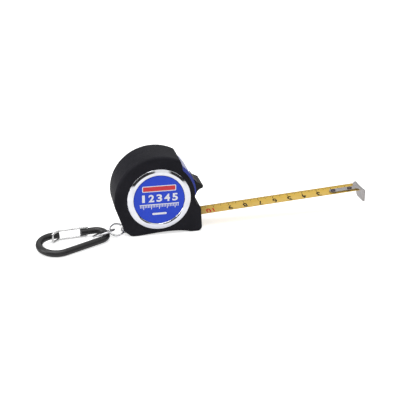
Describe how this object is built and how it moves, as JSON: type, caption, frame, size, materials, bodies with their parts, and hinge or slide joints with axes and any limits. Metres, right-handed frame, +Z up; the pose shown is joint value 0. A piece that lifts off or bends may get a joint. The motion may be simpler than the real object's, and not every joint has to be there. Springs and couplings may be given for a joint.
{
  "type": "tape measure",
  "caption": "Pocket tape measure with a rubber covered case, a curved steel blade drawn out to its end hook, a thumb lock and a wire-gate carabiner on three rings.",
  "frame": {"origin": "middle of the front foot of the case, on the surface it stands on", "axes": "+X the way the blade comes out, +Z up, the round label faces -Y"},
  "size_m": [0.215, 0.0444, 0.0516],
  "materials": {
    "rubber": "moulded charcoal rubber with a soft satin face",
    "shell": "moulded blue plastic",
    "bezel": "bright plated ring",
    "label": "flat printed blue disc, no words",
    "fastener": "zinc plated steel",
    "spool": "natural moulded plastic",
    "spring_steel": "blued spring steel",
    "blade": "yellow enamel with black figures",
    "hook": "pressed nickel plated steel",
    "button": "black moulded plastic",
    "pad": "black rubber",
    "ring": "nickel plated wire",
    "carabiner": "black anodised, satin",
    "gate": "bright drawn steel wire"
  },
  "bodies": {
    "case": {"front_cover": "rubber", "rear_cover": "rubber", "front_shell": "shell", "rear_shell": "shell", "bezel_ring": "bezel", "label_disc": "label", "case_screw_1": "fastener", "case_screw_2": "fastener", "case_screw_3": "fastener", "spring_arbor": "fastener", "front_washer": "fastener", "rear_washer": "fastener", "mouth_guide": "fastener", "lanyard_pin": "fastener"},
    "spool": {"spool_drum": "spool", "spool_cover": "spool", "blade_coil": "blade", "drive_spring": "spring_steel"},
    "blade": {"blade": "blade", "hook_rivet_1": "fastener", "hook_rivet_2": "fastener"},
    "hook": {"end_hook": "hook"},
    "lock": {"lock_button": "button", "lock_arm": "spring_steel", "brake_pad": "pad"},
    "link": {"chain_link": "ring"},
    "small_ring": {"jump_ring": "ring"},
    "large_ring": {"carabiner_ring": "ring"},
    "carabiner": {"carabiner_body": "carabiner"},
    "gate": {"carabiner_gate": "gate"}
  },
  "joints": [
    {"name": "blade_slide", "type": "slide", "parent": "case", "child": "blade", "axis": [0.9974, 0, 0.0715], "range_m": [-0.1055, 1.885], "deforming": ["blade"]},
    {"name": "spool_spin", "type": "hinge", "parent": "case", "child": "spool", "pos_m": [-0.0222, 0, 0.0241], "axis": [0, -1, 0], "range_deg": [-360, 6360], "deforming": ["drive_spring"]},
    {"name": "hook_float", "type": "slide", "parent": "blade", "child": "hook", "axis": [0.9974, 0, 0.0715], "range_m": [0, 0.0008]},
    {"name": "lock_slide", "type": "hinge", "parent": "case", "child": "lock", "pos_m": [-0.0222, 0, 0.0241], "axis": [0, -1, 0], "range_deg": [0, 10.5]},
    {"name": "link_swing", "type": "hinge", "parent": "case", "child": "link", "pos_m": [-0.0422, -0.0074, 0.0038], "axis": [0, 1, 0], "range_deg": [-60, 10]},
    {"name": "small_ring_swing", "type": "hinge", "parent": "link", "child": "small_ring", "pos_m": [-0.0453, -0.0074, 0.0038], "axis": [0, 0, 1], "range_deg": [-12, 30]},
    {"name": "large_ring_swing", "type": "hinge", "parent": "small_ring", "child": "large_ring", "pos_m": [-0.05285, -0.0074, 0.0038], "axis": [0, 0.866, 0.5], "range_deg": [-30, 30]},
    {"name": "carabiner_swing", "type": "hinge", "parent": "large_ring", "child": "carabiner", "pos_m": [-0.05677, -0.01025, 0.00368], "axis": [-0.2424, 0.369, 0.8973], "range_deg": [-20, 35]},
    {"name": "gate_swing", "type": "hinge", "parent": "carabiner", "child": "gate", "pos_m": [-0.06656, -0.00604, 0.00383], "axis": [0.0293, -0.0941, 0.9951], "range_deg": [0, 30], "stiffness_Nm_per_rad": 0.001, "springref_deg": -17.19}
  ],
  "couplings": [
    {"joint": "spool_spin", "follows": "blade_slide", "rad_per_m": 58.8}
  ]
}
